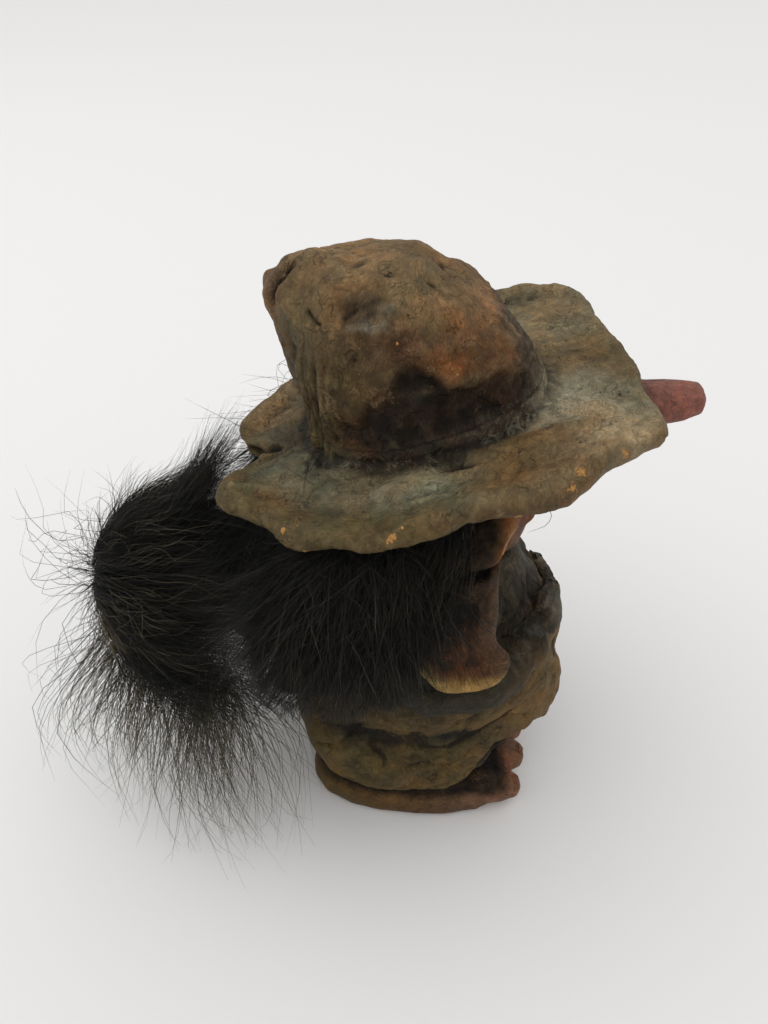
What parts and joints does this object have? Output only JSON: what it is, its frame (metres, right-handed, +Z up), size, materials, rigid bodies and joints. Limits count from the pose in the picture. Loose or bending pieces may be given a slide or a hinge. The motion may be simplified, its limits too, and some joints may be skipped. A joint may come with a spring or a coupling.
{
  "type": "folk figurine",
  "caption": "Stout folk gnome in a floppy wide-brimmed hat, with a long nose, drooping ears, fur hair and a tail ending in a fur tuft. A free-standing ornament.",
  "frame": {"origin": "on the floor, below the middle of the whole figure", "axes": "+Z up, the face looks along -Y, the figure's right hand is at -X"},
  "size_m": [0.0876, 0.132, 0.1285],
  "materials": {
    "painted_hat": "cast resin, painted olive-brown and rust, dry-brushed grey-green, chipped at the rim",
    "painted_cloth": "cast resin, painted olive-yellow with dark washed folds",
    "painted_sleeve": "cast resin, painted grey-blue over dark brown",
    "painted_skin": "cast resin, painted reddish brown with ochre on the raised edges",
    "painted_nose": "cast resin, painted rose over brown, slight satin",
    "glass_eye": "polished dark bead",
    "black_fur": "long-pile fur, near black",
    "fur_backing": "knitted backing",
    "bare_wood": "bare turned wood",
    "steel_wire": "plain annealed wire"
  },
  "bodies": {
    "root": {"hat": "painted_hat", "tunic_trunk": "painted_cloth", "tail_core": "painted_cloth", "right_sleeve": "painted_sleeve", "left_sleeve": "painted_sleeve", "head": "painted_skin", "right_ear": "painted_skin", "left_ear": "painted_skin", "right_hand": "painted_skin", "left_hand": "painted_skin", "right_foot": "painted_skin", "left_foot": "painted_skin", "nose": "painted_nose", "right_eye": "glass_eye", "left_eye": "glass_eye", "hair_back": "black_fur", "hair_right": "black_fur", "hair_left": "black_fur", "tail_tuft": "black_fur", "hair_backing": "fur_backing", "tuft_backing": "fur_backing", "neck_dowel": "bare_wood", "right_foot_peg": "bare_wood", "left_foot_peg": "bare_wood", "tail_wire": "steel_wire"}
  },
  "joints": []
}
